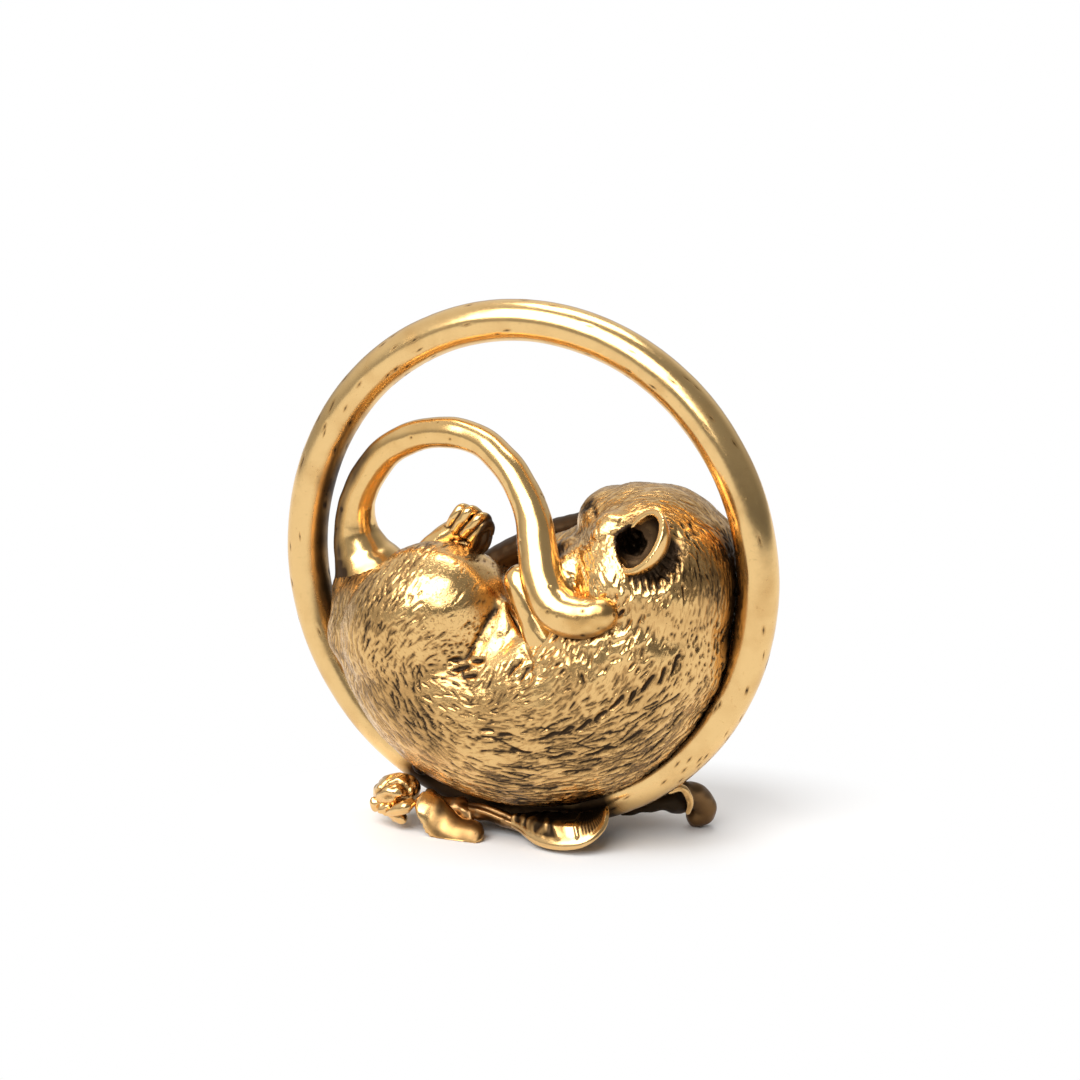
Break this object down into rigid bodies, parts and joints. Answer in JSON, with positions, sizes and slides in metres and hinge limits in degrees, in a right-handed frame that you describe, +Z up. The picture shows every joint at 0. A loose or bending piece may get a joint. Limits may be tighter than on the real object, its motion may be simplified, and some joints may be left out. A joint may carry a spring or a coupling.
{
  "type": "dormouse figurine",
  "caption": "Solid brass ornament: a sleeping dormouse curled on its back inside an upright round hoop, on a low base of leaves and a blossom.",
  "frame": {"origin": "on the floor under the middle of the hoop, at the bottom centre of the whole ornament's box", "axes": "+Z up; the hoop stands in the XZ plane; the animal's head is towards +X and its near side faces -Y"},
  "size_m": [0.05, 0.0256, 0.0503],
  "materials": {
    "hoop_brass": "satin polish, fine lengthwise brushing, a few casting pits",
    "smooth_brass": "bright satin polish, a few pits, dark patina in the folds",
    "fur_brass": "tooled fur, polished on the high places, dark brown patina in the grooves",
    "leaf_brass": "polished rims, patina in the veins and folds",
    "dark_brass": "mostly dark brown patina, rubbed on the edges"
  },
  "bodies": {
    "root": {"hoop": "hoop_brass", "tail": "smooth_brass", "ear_left": "smooth_brass", "ear_right": "smooth_brass", "foreleg_left": "smooth_brass", "foreleg_right": "smooth_brass", "hind_foot_left": "smooth_brass", "hind_foot_right": "smooth_brass", "haunch_left": "fur_brass", "haunch_right": "fur_brass", "head": "fur_brass", "torso": "fur_brass", "blossom_husk": "leaf_brass", "blossom_lip": "leaf_brass", "bud_1": "leaf_brass", "bud_2": "leaf_brass", "bud_3": "leaf_brass", "leaf_tongue": "leaf_brass", "leaf_front": "leaf_brass", "leaf_folded": "dark_brass", "twig": "dark_brass", "leaf_rolled": "dark_brass", "tendril": "leaf_brass", "leaf_rear": "dark_brass"}
  },
  "joints": []
}
